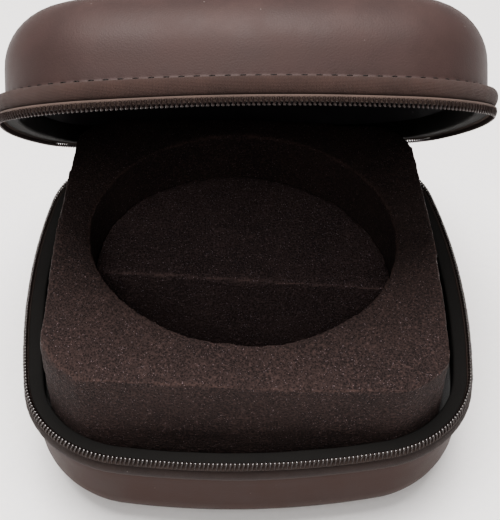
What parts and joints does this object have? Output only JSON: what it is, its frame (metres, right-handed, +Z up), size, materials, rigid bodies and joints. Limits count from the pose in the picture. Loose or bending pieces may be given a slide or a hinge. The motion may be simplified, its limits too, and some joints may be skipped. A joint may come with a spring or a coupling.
{
  "type": "headphone carrying case",
  "caption": "Rounded-square zipped hard case, lid hinged open at the back, with a foam insert holding a round well and a half-moon step.",
  "frame": {"origin": "centre of the case's footprint, on the flat underside of the base", "axes": "+Z up out of the base, +X to the right, -Y to the front where the zip opens, +Y to the hinge"},
  "size_m": [0.1624, 0.1786, 0.1701],
  "materials": {
    "soft_touch_skin": "matte",
    "eva_core": "matte",
    "lining_cloth": "matte",
    "binding_cloth": "matte",
    "zip_tape_cloth": "matte",
    "zip_coil_nylon": "satin",
    "band_cloth": "matte",
    "sewing_thread": "matte",
    "insert_foam": "matte",
    "spine_cloth": "matte",
    "slider_metal": "satin"
  },
  "bodies": {
    "base": {"base_cover": "soft_touch_skin", "base_core": "eva_core", "base_lining": "lining_cloth", "base_rim_binding": "binding_cloth", "base_zip_tape": "zip_tape_cloth", "base_zip_coil": "zip_coil_nylon", "base_trim_band": "band_cloth", "base_stitching": "sewing_thread", "hinge_spine": "spine_cloth", "hinge_gusset": "lining_cloth", "foam_block": "insert_foam", "foam_step": "insert_foam"},
    "lid": {"lid_cover": "soft_touch_skin", "lid_core": "eva_core", "lid_lining": "lining_cloth", "lid_rim_binding": "binding_cloth", "lid_zip_tape": "zip_tape_cloth", "lid_zip_coil": "zip_coil_nylon", "lid_trim_band": "band_cloth", "lid_stitching": "sewing_thread"},
    "slider_left": {"zip_slider_left": "slider_metal"},
    "slider_right": {"zip_slider_right": "slider_metal"},
    "pull_left": {"zip_pull_left": "slider_metal"},
    "pull_right": {"zip_pull_right": "slider_metal"}
  },
  "joints": [
    {"name": "lid_hinge", "type": "hinge", "parent": "base", "child": "lid", "pos_m": [0, 0.08065, 0.0442], "axis": [-1, 0, 0], "range_deg": [-41.5, 68.5], "deforming": ["hinge_spine", "hinge_gusset"]},
    {"name": "slider_left_travel", "type": "hinge", "parent": "base", "child": "slider_left", "pos_m": [-0.03818, 0.0422, 0.0442], "axis": [0, 0, 1], "range_deg": [0, 12]},
    {"name": "slider_right_travel", "type": "hinge", "parent": "base", "child": "slider_right", "pos_m": [0.03818, 0.0422, 0.0442], "axis": [0, 0, -1], "range_deg": [0, 12]},
    {"name": "pull_left_swing", "type": "hinge", "parent": "slider_left", "child": "pull_left", "pos_m": [-0.06003, 0.08005, 0.0442], "axis": [0.866, 0.5, 0], "range_deg": [0, 90]},
    {"name": "pull_right_swing", "type": "hinge", "parent": "slider_right", "child": "pull_right", "pos_m": [0.06003, 0.08005, 0.0442], "axis": [0.866, -0.5, 0], "range_deg": [0, 90]}
  ]
}
